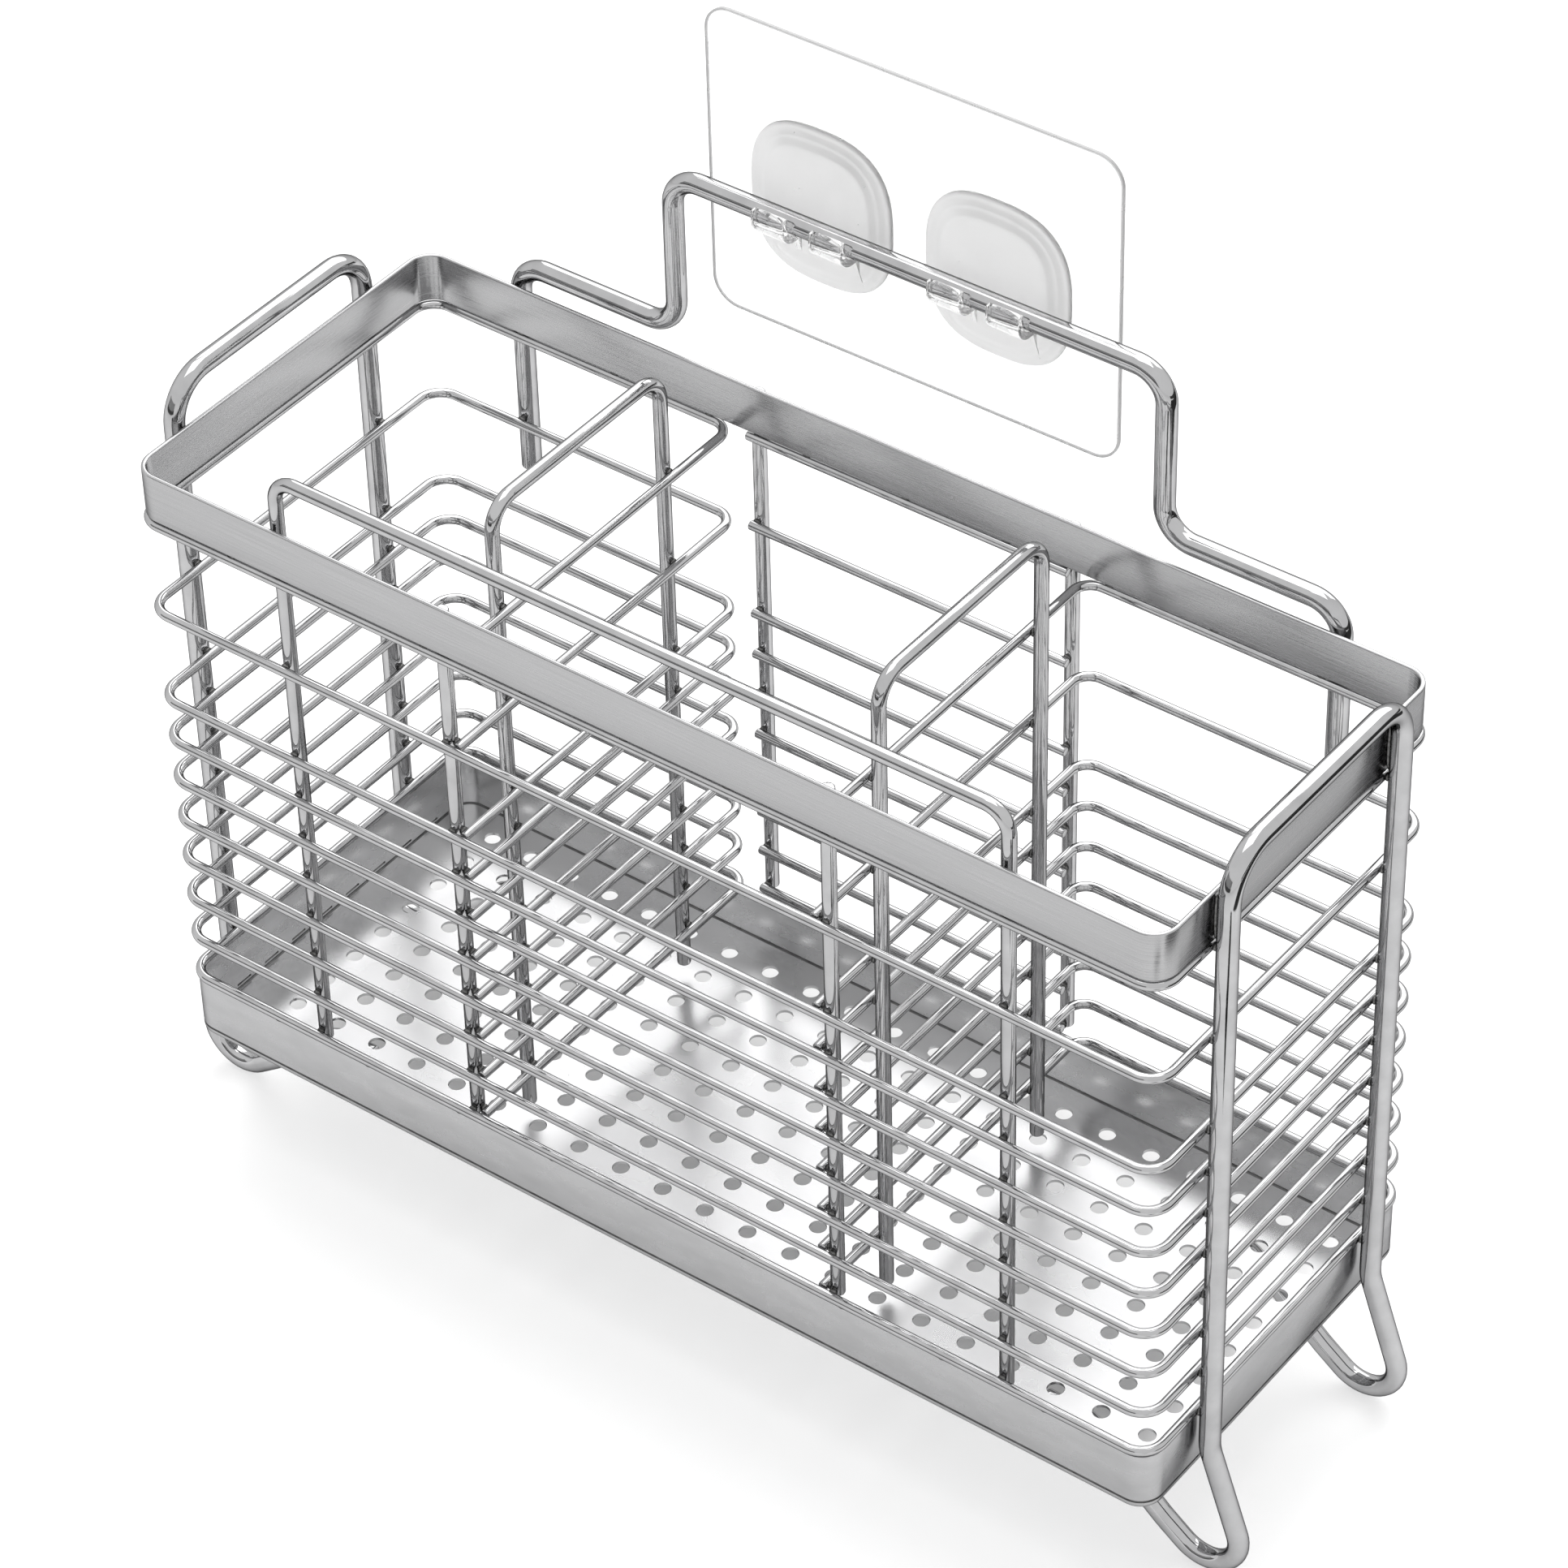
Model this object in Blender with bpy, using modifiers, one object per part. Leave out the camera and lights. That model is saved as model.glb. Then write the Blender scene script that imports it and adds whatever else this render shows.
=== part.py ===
"""Utensil drying rack: a welded wire basket of three compartments over a drip tray, and a clear wall plate
whose two double hooks hold its hanging bar.

Metres, +Z up. The length runs along X, the front looks along -Y and the wall is at +Y. Heights inside the
rack are measured from the middle of its lowest level wire. The last step sets the finished object on z = 0
with its box centred on the origin.
"""

import math

import bmesh
import bpy
from mathutils import Matrix, Quaternion, Vector

# Fit between pieces that touch, and the three wires the rack is bent from
GAP = 0.0003
THIN_WIRE = 0.0024
MEDIUM_WIRE = 0.0035
THICK_WIRE = 0.0051

# Basket, measured between wire centres
BASKET_LENGTH = 0.280
BASKET_DEPTH = 0.1049
CORNER_BEND = 0.006

# Level wires: close ones below, wide gaps above
CLOSE_LEVELS = 8
CLOSE_PITCH = 0.01233
WIDE_LEVELS = 2
WIDE_PITCH = 0.0262

# Dividers, which are the inner ends of the level wires
DIVIDER_X = 0.0495
DIVIDER_BEND = 0.005

# Rim band
BAND_HEIGHT = 0.013
BAND_THICKNESS = 0.0012

# Posts where the dividers meet the front and behind the middle compartment
POST_DROP = 0.001
POST_RISE = 0.0097
BACK_POST_X = 0.044
MIDDLE_WIRE_OVERHANG = 0.001

# Front guard, its bar above the rim
GUARD_LEG_X = 0.0997
GUARD_RISE = 0.0123
GUARD_DROP = 0.0025
GUARD_BEND = 0.006

# Divider frames, their bars above the rim and their ends above the tray's floor
DIVIDER_LEG_Y = 0.0305
DIVIDER_RISE = 0.0127
DIVIDER_FLOOR_GAP = 0.0042
DIVIDER_FRAME_BEND = 0.007

# Side frames: handles above the rim, legs, and feet that fold back under the tray
SIDE_LEG_Y = 0.0335
HANDLE_RISE = 0.0092
HANDLE_BEND = 0.011
KNEE_DROP = 0.010
KNEE_BEND = 0.012
FOOT_SPREAD = 0.01245
FOOT_DROP = 0.0353
FOOT_BEND = 0.005
FOOT_REACH = 0.045
FOOT_TAIL = 0.012
TAIL_BEND = 0.008

# Hanger: outer legs, shelves above the rim and a raised bar
HANGER_LEG_X = 0.1143
HANGER_LEG_DROP = 0.015
HANGER_SHELF_RISE = 0.0042
HANGER_UPRIGHT_X = 0.0675
HANGER_BAR_RISE = 0.043
HANGER_BEND = 0.008

# Drip tray with its round holes and the slits along its end bends
TRAY_HEIGHT = 0.0165
TRAY_SHEET = 0.0008
TRAY_BEND = 0.003
HOLE_DIAMETER = 0.0043
HOLE_PITCH_X = 0.01255
HOLE_PITCH_Y = 0.0109
HOLE_SHIFT_X = 0.0014
HOLE_EDGE = 0.003
SLIT_COUNT = 8
SLIT_LENGTH = 0.0055
SLIT_WIDTH = 0.001
SLIT_PITCH = 0.0104
SLIT_SHIFT_Y = 0.0016

# Clear wall plate and its double hooks
PLATE_X = -0.005
SHEET_WIDTH = 0.1125
SHEET_HEIGHT = 0.0808
SHEET_THICKNESS = 0.0008
SHEET_CORNER = 0.007
SHEET_RISE = 0.005
HOOK_SPACING = 0.0482
HOOK_WIDTH = 0.039
HOOK_HEIGHT = 0.0414
HOOK_THICKNESS = 0.0028
HOOK_RISE = 0.0028
HOOK_SQUARENESS = 2.7
FLANGE_THICKNESS = 0.0012
FLANGE_WIDTH = 0.0026
FINGER_WIDTH = 0.009
FINGER_SPACING = 0.016
FINGER_THICKNESS = 0.002
FINGER_LIP = 0.0039
GUSSET_DROP = 0.0095

# Heights and places that follow from the sizes above
HALF_LENGTH = BASKET_LENGTH / 2
HALF_DEPTH = BASKET_DEPTH / 2
CLOSE_TOP = (CLOSE_LEVELS - 1) * CLOSE_PITCH
TOP_LEVEL = CLOSE_TOP + WIDE_LEVELS * WIDE_PITCH
BAND_BOTTOM = TOP_LEVEL + THIN_WIRE / 2 + GAP
RIM_TOP = BAND_BOTTOM + BAND_HEIGHT
TRAY_TOP = -THIN_WIRE / 2 - GAP
TRAY_BOTTOM = TRAY_TOP - TRAY_HEIGHT
TRAY_FLOOR = TRAY_BOTTOM + TRAY_SHEET
MEDIUM_OFFSET = THIN_WIRE / 2 + GAP + MEDIUM_WIRE / 2
THICK_OFFSET = THIN_WIRE / 2 + GAP + THICK_WIRE / 2
SHELF_HEIGHT = RIM_TOP + HANGER_SHELF_RISE
BAR_HEIGHT = SHELF_HEIGHT + HANGER_BAR_RISE
BAR_Y = HALF_DEPTH + THICK_OFFSET
BAR_CLEARANCE = THICK_WIRE / 2 + GAP
SHEET_FRONT_Y = BAR_Y + BAR_CLEARANCE + HOOK_THICKNESS + GAP

# Smoothness of bends and round outlines
FINE_STEP = math.radians(22.5)
COARSE_STEP = math.radians(30)
WIRE_SIDES_RESOLUTION = 2
CORNER_STEPS = 4
HOLE_SIDES = 7
HOOK_OUTLINE_POINTS = 32

STEEL = (0.62, 0.62, 0.63, 1)
CLEAR = (0.86, 0.88, 0.88, 1)


def clear_scene():
    for obj in list(bpy.data.objects):
        bpy.data.objects.remove(obj, do_unlink=True)


def new_collection(name):
    collection = bpy.data.collections.new(name)
    bpy.context.scene.collection.children.link(collection)
    return collection


def new_empty(name, location, parent=None):
    empty = bpy.data.objects.new(name, None)
    empty.empty_display_size = 0.02
    empty.location = location
    empty.parent = parent
    PARTS.objects.link(empty)
    return empty


def surface(name, colour, roughness, metallic):
    material = bpy.data.materials.new(name)
    material.use_nodes = True
    shader = material.node_tree.nodes["Principled BSDF"]
    shader.inputs["Base Color"].default_value = colour
    shader.inputs["Roughness"].default_value = roughness
    shader.inputs["Metallic"].default_value = metallic
    return material


def steel(name, roughness):
    return surface(name, STEEL, roughness, 1.0)


def clear_plastic(name, roughness):
    material = surface(name, CLEAR, roughness, 0.0)
    material.node_tree.nodes["Principled BSDF"].inputs["Transmission Weight"].default_value = 0.9
    return material


def add_part(name, data, parent, location=(0, 0, 0), rotation=(0, 0, 0)):
    obj = bpy.data.objects.new(name, data)
    obj.location = location
    obj.rotation_euler = rotation
    obj.parent = parent
    PARTS.objects.link(obj)
    return obj


def add_cutter(name, data, location=(0, 0, 0), rotation=(0, 0, 0), parent=None):
    obj = bpy.data.objects.new(name, data)
    obj.location = location
    obj.rotation_euler = rotation
    obj.parent = parent
    obj.hide_render = True
    obj.display_type = "WIRE"
    CUTTERS.objects.link(obj)
    return obj


def mesh_from(bm, name):
    bmesh.ops.recalc_face_normals(bm, faces=bm.faces)
    mesh = bpy.data.meshes.new(name)
    bm.to_mesh(mesh)
    bm.free()
    return mesh


def shade_round(mesh):
    mesh.shade_smooth()
    mesh.set_sharp_from_angle(angle=math.radians(35))


def bend(before, corner, after, radius, step):
    """Points of the arc that rounds one corner of a wire's route."""
    into = (before - corner).normalized()
    out = (after - corner).normalized()
    half_angle = into.angle(out) / 2
    centre = corner + (into + out).normalized() * radius / math.sin(half_angle)
    first = corner + into * radius / math.tan(half_angle) - centre
    last = corner + out * radius / math.tan(half_angle) - centre
    turn = math.pi - 2 * half_angle
    count = max(2, round(turn / step))
    axis = first.cross(last).normalized()
    return [centre + Quaternion(axis, turn * i / count) @ first for i in range(count + 1)]


def bent_route(corners, radii, step):
    """A wire's route: straight runs between corners, each inner corner rounded to its own radius."""
    corners = [Vector(corner) for corner in corners]
    route = [corners[0]]
    for i, radius in enumerate(radii, start=1):
        route += bend(corners[i - 1], corners[i], corners[i + 1], radius, step)
    return route + [corners[-1]]


def wire(name, route, diameter, parent, location=(0, 0, 0)):
    """A round wire along a route, with flat cut ends."""
    curve = bpy.data.curves.new(name, "CURVE")
    curve.dimensions = "3D"
    curve.bevel_depth = diameter / 2
    curve.bevel_resolution = WIRE_SIDES_RESOLUTION
    curve.use_fill_caps = True
    spline = curve.splines.new("POLY")
    spline.points.add(len(route) - 1)
    for point, place in zip(spline.points, route):
        point.co = (*place, 1)
    spline.use_smooth = True
    curve.materials.append(steel(name, 0.16))
    return add_part(name, curve, parent, location)


def plate_curve(name, outline, thickness):
    """A flat plate: a filled 2D outline, extruded half its thickness each way."""
    curve = bpy.data.curves.new(name, "CURVE")
    curve.dimensions = "2D"
    curve.fill_mode = "BOTH"
    curve.extrude = thickness / 2
    spline = curve.splines.new("POLY")
    spline.points.add(len(outline) - 1)
    for point, (x, y) in zip(spline.points, outline):
        point.co = (x, y, 0, 1)
    spline.use_cyclic_u = True
    return curve


def curve_to_mesh(curve):
    """The closed mesh of a curve that a Boolean joins to another piece."""
    holder = bpy.data.objects.new(curve.name, curve)
    bpy.context.scene.collection.objects.link(holder)
    graph = bpy.context.evaluated_depsgraph_get()
    mesh = bpy.data.meshes.new_from_object(holder.evaluated_get(graph))
    bpy.data.objects.remove(holder, do_unlink=True)
    bm = bmesh.new()
    bm.from_mesh(mesh)
    bmesh.ops.remove_doubles(bm, verts=bm.verts, dist=0.000001)
    bmesh.ops.recalc_face_normals(bm, faces=bm.faces)
    bm.to_mesh(mesh)
    bm.free()
    return mesh


def rounded_rectangle(half_x, half_y, radius, steps):
    """Outline of a rectangle with round corners, counter-clockwise."""
    outline = []
    for quarter, (sx, sy) in enumerate(((1, 1), (-1, 1), (-1, -1), (1, -1))):
        for i in range(steps + 1):
            angle = math.pi / 2 * (quarter + i / steps)
            x = sx * (half_x - radius) + radius * math.cos(angle)
            y = sy * (half_y - radius) + radius * math.sin(angle)
            outline.append((x, y))
    return outline


def outline_face(bm, outline, z=0.0):
    return bm.faces.new([bm.verts.new((x, y, z)) for x, y in outline])


def extrude_up(bm, face, height):
    """Extrudes a face and returns the moved one."""
    made = bmesh.ops.extrude_face_region(bm, geom=[face])["geom"]
    moved = [v for v in made if isinstance(v, bmesh.types.BMVert)]
    bmesh.ops.translate(bm, verts=moved, vec=(0, 0, height))
    return next(f for f in made if isinstance(f, bmesh.types.BMFace))


def level_heights():
    close = [i * CLOSE_PITCH for i in range(CLOSE_LEVELS)]
    wide = [CLOSE_TOP + (i + 1) * WIDE_PITCH for i in range(WIDE_LEVELS)]
    return sorted(close + wide, reverse=True)


def level_wires(parent):
    """Each level is one wire round three compartments, its ends turned forward as the dividers."""
    end_y = -HALF_DEPTH + THIN_WIRE / 2 + GAP
    half_route = [(HALF_LENGTH, -HALF_DEPTH, 0), (HALF_LENGTH, HALF_DEPTH, 0),
                  (DIVIDER_X, HALF_DEPTH, 0), (DIVIDER_X, end_y, 0)]
    corners = [(-x, y, z) for x, y, z in reversed(half_route)] + half_route
    radii = [DIVIDER_BEND, CORNER_BEND, CORNER_BEND, CORNER_BEND, CORNER_BEND, DIVIDER_BEND]
    route = bent_route(corners, radii, COARSE_STEP)
    for number, height in enumerate(level_heights(), start=1):
        wire(f"level_wire_{number:02d}", route, THIN_WIRE, parent, (0, 0, height))


def middle_back_wires(parent):
    """Short wires that close the back of the middle compartment between the back posts."""
    end = Vector((BACK_POST_X + MIDDLE_WIRE_OVERHANG, 0, 0))
    for number, height in enumerate(level_heights(), start=1):
        wire(f"middle_back_wire_{number:02d}", [-end, end], THIN_WIRE, parent, (0, HALF_DEPTH, height))


def posts(parent):
    bottom = Vector((0, 0, -POST_DROP))
    top = Vector((0, 0, BAND_BOTTOM + POST_RISE))
    front_x = DIVIDER_X + MEDIUM_OFFSET
    front_y = -HALF_DEPTH + MEDIUM_OFFSET
    back_y = HALF_DEPTH + MEDIUM_OFFSET
    for side, sign in (("left", -1), ("right", 1)):
        wire(f"front_post_{side}", [bottom, top], MEDIUM_WIRE, parent, (sign * front_x, front_y, 0))
        wire(f"back_post_{side}", [bottom, top], MEDIUM_WIRE, parent, (sign * BACK_POST_X, back_y, 0))


def front_guard(parent):
    """A wide upside-down U inside the front wires."""
    top = RIM_TOP + GUARD_RISE
    corners = [(-GUARD_LEG_X, 0, -GUARD_DROP), (-GUARD_LEG_X, 0, top),
               (GUARD_LEG_X, 0, top), (GUARD_LEG_X, 0, -GUARD_DROP)]
    route = bent_route(corners, [GUARD_BEND, GUARD_BEND], FINE_STEP)
    wire("front_guard", route, MEDIUM_WIRE, parent, (0, -HALF_DEPTH + MEDIUM_OFFSET, 0))


def divider_frames(parent):
    """Upside-down U frames on the outer sides of the divider wires."""
    top = RIM_TOP + DIVIDER_RISE
    bottom = TRAY_FLOOR + DIVIDER_FLOOR_GAP
    corners = [(0, -DIVIDER_LEG_Y, bottom), (0, -DIVIDER_LEG_Y, top),
               (0, DIVIDER_LEG_Y, top), (0, DIVIDER_LEG_Y, bottom)]
    route = bent_route(corners, [DIVIDER_FRAME_BEND, DIVIDER_FRAME_BEND], FINE_STEP)
    for side, sign in (("left", -1), ("right", 1)):
        place = (sign * (DIVIDER_X + MEDIUM_OFFSET), 0, 0)
        wire(f"divider_frame_{side}", route, MEDIUM_WIRE, parent, place)


def side_frames(parent):
    """Handle, two legs and two feet in one thick wire. Each foot runs out and down, turns on a tight bend
    and comes back up to end flat under the tray."""
    leg_x = HALF_LENGTH + THICK_OFFSET
    corner_x = leg_x + FOOT_SPREAD
    tail_z = TRAY_BOTTOM - GAP - THICK_WIRE / 2
    handle_z = RIM_TOP + HANDLE_RISE
    corner_z = TRAY_BOTTOM - FOOT_DROP
    tail_x = corner_x - FOOT_REACH
    foot = [(tail_x - FOOT_TAIL, tail_z), (tail_x, tail_z), (corner_x, corner_z),
            (leg_x, -KNEE_DROP), (leg_x, handle_z)]
    radii = [TAIL_BEND, FOOT_BEND, KNEE_BEND, HANDLE_BEND]
    for side, sign in (("left", -1), ("right", 1)):
        corners = [(sign * x, -SIDE_LEG_Y, z) for x, z in foot]
        corners += [(sign * x, SIDE_LEG_Y, z) for x, z in reversed(foot)]
        route = bent_route(corners, radii + radii[::-1], FINE_STEP)
        wire(f"side_frame_{side}", route, THICK_WIRE, parent)


def back_hanger(parent):
    """Thick wire behind the basket: two legs, two shelves and the raised bar that hangs in the hooks."""
    leg_end = TOP_LEVEL - WIDE_PITCH - HANGER_LEG_DROP
    half = [(HANGER_UPRIGHT_X, BAR_HEIGHT), (HANGER_UPRIGHT_X, SHELF_HEIGHT),
            (HANGER_LEG_X, SHELF_HEIGHT), (HANGER_LEG_X, leg_end)]
    corners = [(-x, 0, z) for x, z in reversed(half)] + [(x, 0, z) for x, z in half]
    route = bent_route(corners, [HANGER_BEND] * 6, FINE_STEP)
    wire("back_hanger", route, THICK_WIRE, parent, (0, BAR_Y, 0))


def rim_band(parent):
    """A flat strip bent round the basket on top of the highest wire."""
    bm = bmesh.new()
    outline = rounded_rectangle(HALF_LENGTH, HALF_DEPTH, CORNER_BEND, CORNER_STEPS)
    bottom = outline_face(bm, outline, BAND_BOTTOM)
    top = extrude_up(bm, bottom, BAND_HEIGHT)
    bmesh.ops.delete(bm, geom=[bottom, top], context="FACES_ONLY")
    mesh = mesh_from(bm, "rim_band")
    shade_round(mesh)
    mesh.materials.append(steel("rim_band", 0.3))
    band = add_part("rim_band", mesh, parent)
    shell = band.modifiers.new("Strip thickness", "SOLIDIFY")
    shell.thickness = BAND_THICKNESS
    shell.offset = 0
    shell.use_even_offset = True


def tray_shell():
    """The tray's outer surface, open at the top, with a rounded bend between floor and walls."""
    bm = bmesh.new()
    half_x = HALF_LENGTH + TRAY_SHEET / 2
    half_y = HALF_DEPTH + TRAY_SHEET / 2
    floor = outline_face(bm, rounded_rectangle(half_x, half_y, CORNER_BEND, CORNER_STEPS), TRAY_BOTTOM)
    rim = extrude_up(bm, floor, TRAY_HEIGHT)
    bmesh.ops.delete(bm, geom=[rim], context="FACES_ONLY")
    bends = [e for e in bm.edges if all(v.co.z < TRAY_BOTTOM + GAP for v in e.verts)]
    bmesh.ops.bevel(bm, geom=bends, offset=TRAY_BEND, offset_type="OFFSET", segments=3,
                    profile=0.5, affect="EDGES", material=-1)
    return mesh_from(bm, "drip_tray")


def hole_places(half, pitch, shift):
    """Places of a row of holes that keep their distance from the bends, on a pitch that starts at shift."""
    limit = half - TRAY_SHEET / 2 - TRAY_BEND - HOLE_EDGE - HOLE_DIAMETER / 2
    reach = math.ceil(2 * half / pitch)
    places = [shift + i * pitch for i in range(-reach, reach + 1)]
    return [place for place in places if abs(place) <= limit]


def tray_holes():
    bm = bmesh.new()
    middle = TRAY_BOTTOM + TRAY_SHEET / 2
    for x in hole_places(HALF_LENGTH, HOLE_PITCH_X, HOLE_SHIFT_X):
        for y in hole_places(HALF_DEPTH, HOLE_PITCH_Y, 0):
            bmesh.ops.create_cone(bm, cap_ends=True, segments=HOLE_SIDES, depth=TRAY_SHEET * 3,
                                  radius1=HOLE_DIAMETER / 2, radius2=HOLE_DIAMETER / 2,
                                  matrix=Matrix.Translation((x, y, middle)))
    return mesh_from(bm, "tray_holes")


def tray_slits():
    """Narrow slits through both end bends, in boxes turned 45 degrees to cross the bend square."""
    bm = bmesh.new()
    inset = TRAY_BEND * (1 - math.cos(math.pi / 4))
    for sign in (-1, 1):
        x = sign * (HALF_LENGTH + TRAY_SHEET / 2 - inset)
        turn = Matrix.Rotation(-sign * math.pi / 4, 4, "Y")
        size = Matrix.Diagonal((TRAY_SHEET * 4, SLIT_LENGTH, SLIT_WIDTH, 1))
        for i in range(SLIT_COUNT):
            y = (i - (SLIT_COUNT - 1) / 2) * SLIT_PITCH + SLIT_SHIFT_Y
            place = Matrix.Translation((x, y, TRAY_BOTTOM + inset))
            bmesh.ops.create_cube(bm, size=1, matrix=place @ turn @ size)
    return mesh_from(bm, "tray_slits")


def drip_tray(parent):
    mesh = tray_shell()
    shade_round(mesh)
    mesh.materials.append(steel("drip_tray", 0.22))
    tray = add_part("drip_tray", mesh, parent)
    shell = tray.modifiers.new("Sheet thickness", "SOLIDIFY")
    shell.thickness = TRAY_SHEET
    shell.offset = -1
    shell.use_even_offset = True
    for name, cutter in (("Holes", tray_holes()), ("Slits", tray_slits())):
        cut = tray.modifiers.new(name, "BOOLEAN")
        cut.operation = "DIFFERENCE"
        cut.solver = "EXACT"
        cut.object = add_cutter(cutter.name, cutter, parent=parent)


def adhesive_sheet(parent):
    """The clear sheet that sticks to the wall, behind both hooks."""
    outline = rounded_rectangle(SHEET_WIDTH / 2, SHEET_HEIGHT / 2, SHEET_CORNER, CORNER_STEPS)
    curve = plate_curve("adhesive_sheet", outline, SHEET_THICKNESS)
    curve.materials.append(clear_plastic("adhesive_sheet", 0.08))
    place = (0, SHEET_FRONT_Y + SHEET_THICKNESS / 2 - BAR_Y, SHEET_RISE)
    add_part("adhesive_sheet", curve, parent, place, (math.pi / 2, 0, 0))


def hook_base():
    """A softly squared disc: a thin flange round a thicker middle, its front towards local +Z."""
    bm = bmesh.new()
    bmesh.ops.create_circle(bm, cap_ends=True, segments=HOOK_OUTLINE_POINTS, radius=1)
    power = 2 / HOOK_SQUARENESS
    for vert in bm.verts:
        x = math.copysign(abs(vert.co.x) ** power, vert.co.x)
        y = math.copysign(abs(vert.co.y) ** power, vert.co.y)
        vert.co = (x * HOOK_WIDTH / 2, y * HOOK_HEIGHT / 2, 0)
    flange = extrude_up(bm, bm.faces[:][0], FLANGE_THICKNESS)
    bmesh.ops.inset_region(bm, faces=[flange], thickness=FLANGE_WIDTH, use_even_offset=True)
    front = extrude_up(bm, flange, HOOK_THICKNESS - FLANGE_THICKNESS)
    bmesh.ops.delete(bm, geom=[flange], context="FACES_ONLY")
    bmesh.ops.bevel(bm, geom=front.edges[:], offset=FLANGE_THICKNESS / 2, offset_type="OFFSET",
                    segments=2, profile=0.5, affect="EDGES", material=-1)
    return mesh_from(bm, "hook_base")


def finger_outline():
    """Side view of one finger round the bar's centre: x towards the wall, y up. It leaves the base as a
    gusset, passes under the bar and ends in a lip in front of it."""
    outer = BAR_CLEARANCE + FINGER_THICKNESS
    root = BAR_CLEARANCE + FLANGE_THICKNESS
    inner_steps = 8
    outline = [(root, -GUSSET_DROP), (root, 0)]
    for i in range(inner_steps + 1):
        angle = -math.pi * i / inner_steps
        outline.append((BAR_CLEARANCE * math.cos(angle), BAR_CLEARANCE * math.sin(angle)))
    tip_x = -BAR_CLEARANCE - FINGER_THICKNESS / 2
    for i in range(5):
        angle = math.pi * i / 4
        outline.append((tip_x + FINGER_THICKNESS / 2 * math.cos(angle),
                        FINGER_LIP - FINGER_THICKNESS / 2 + FINGER_THICKNESS / 2 * math.sin(angle)))
    for i in range(4):
        angle = math.pi + math.radians(55) * i / 3
        outline.append((outer * math.cos(angle), outer * math.sin(angle)))
    return outline + [(BAR_CLEARANCE, -GUSSET_DROP)]


def wall_hooks(parent):
    """Two clear double hooks, each a base with two fingers under the bar."""
    base_y = SHEET_FRONT_Y - GAP - BAR_Y
    for side, sign in (("left", -1), ("right", 1)):
        name = f"hook_{side}"
        x = sign * HOOK_SPACING / 2
        mesh = hook_base()
        mesh.name = name
        shade_round(mesh)
        mesh.materials.append(clear_plastic(name, 0.3))
        hook = add_part(name, mesh, parent, (x, base_y, HOOK_RISE), (math.pi / 2, 0, 0))
        for finger, finger_sign in (("inner", -1), ("outer", 1)):
            curve = plate_curve(f"{name}_{finger}_finger", finger_outline(), FINGER_WIDTH)
            place = (x + finger_sign * FINGER_SPACING / 2, 0, 0)
            cutter = add_cutter(f"{name}_{finger}_finger", curve_to_mesh(curve), place,
                                (math.pi / 2, 0, math.pi / 2), parent)
            join = hook.modifiers.new(f"{finger} finger", "BOOLEAN")
            join.operation = "UNION"
            join.solver = "EXACT"
            join.object = cutter


def set_on_ground(root):
    """Puts the origin at the bottom centre of the finished object's box."""
    bpy.context.view_layer.update()
    graph = bpy.context.evaluated_depsgraph_get()
    corners = []
    for obj in PARTS.objects:
        if obj.type == "EMPTY":
            continue
        evaluated = obj.evaluated_get(graph)
        corners += [obj.matrix_world @ v.co for v in evaluated.to_mesh().vertices]
        evaluated.to_mesh_clear()
    low = Vector(min(c[i] for c in corners) for i in range(3))
    high = Vector(max(c[i] for c in corners) for i in range(3))
    root.location = (-(low.x + high.x) / 2, -(low.y + high.y) / 2, -low.z)


clear_scene()
PARTS = new_collection("utensil_drying_rack")
CUTTERS = new_collection("cutters")
rack = new_empty("rack", (0, 0, 0))
hook_plate = new_empty("hook_plate", (PLATE_X, BAR_Y, BAR_HEIGHT), rack)

level_wires(rack)
middle_back_wires(rack)
posts(rack)
rim_band(rack)
front_guard(rack)
divider_frames(rack)
side_frames(rack)
back_hanger(rack)
drip_tray(rack)
adhesive_sheet(hook_plate)
wall_hooks(hook_plate)
set_on_ground(rack)
bpy.context.view_layer.update()
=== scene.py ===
import math

import bmesh
import bpy
from mathutils import Matrix, Vector


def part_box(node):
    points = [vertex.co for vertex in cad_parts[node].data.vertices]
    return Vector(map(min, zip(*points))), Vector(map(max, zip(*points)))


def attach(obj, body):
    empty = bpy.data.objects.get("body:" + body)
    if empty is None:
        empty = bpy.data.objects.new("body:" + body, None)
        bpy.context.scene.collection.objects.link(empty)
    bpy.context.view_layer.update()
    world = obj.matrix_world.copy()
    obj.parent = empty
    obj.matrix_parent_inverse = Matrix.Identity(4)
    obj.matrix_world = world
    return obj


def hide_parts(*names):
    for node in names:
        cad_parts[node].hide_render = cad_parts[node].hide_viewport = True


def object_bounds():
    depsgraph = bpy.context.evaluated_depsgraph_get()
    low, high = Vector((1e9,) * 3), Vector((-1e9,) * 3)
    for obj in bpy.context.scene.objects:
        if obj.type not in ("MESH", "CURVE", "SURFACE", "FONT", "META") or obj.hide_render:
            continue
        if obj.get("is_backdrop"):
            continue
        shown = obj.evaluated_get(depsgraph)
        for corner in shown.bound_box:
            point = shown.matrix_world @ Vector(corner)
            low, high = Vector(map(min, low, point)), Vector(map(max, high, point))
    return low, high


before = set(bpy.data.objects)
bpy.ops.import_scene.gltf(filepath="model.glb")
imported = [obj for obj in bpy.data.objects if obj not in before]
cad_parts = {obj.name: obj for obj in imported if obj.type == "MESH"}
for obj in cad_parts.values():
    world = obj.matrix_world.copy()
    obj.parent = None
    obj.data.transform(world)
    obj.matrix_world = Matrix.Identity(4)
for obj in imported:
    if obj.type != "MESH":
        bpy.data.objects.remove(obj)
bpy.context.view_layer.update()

# Level wires: ten thin stainless wires, one above the other. Each is bent flat round all three
# compartments, with its two ends turned forward as the dividers, and is spot welded to the
# uprights.
GAP = 0.0003
THIN_WIRE = 0.0024
CORNER_BEND = 0.006
DIVIDER_X = 0.0495
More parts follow.
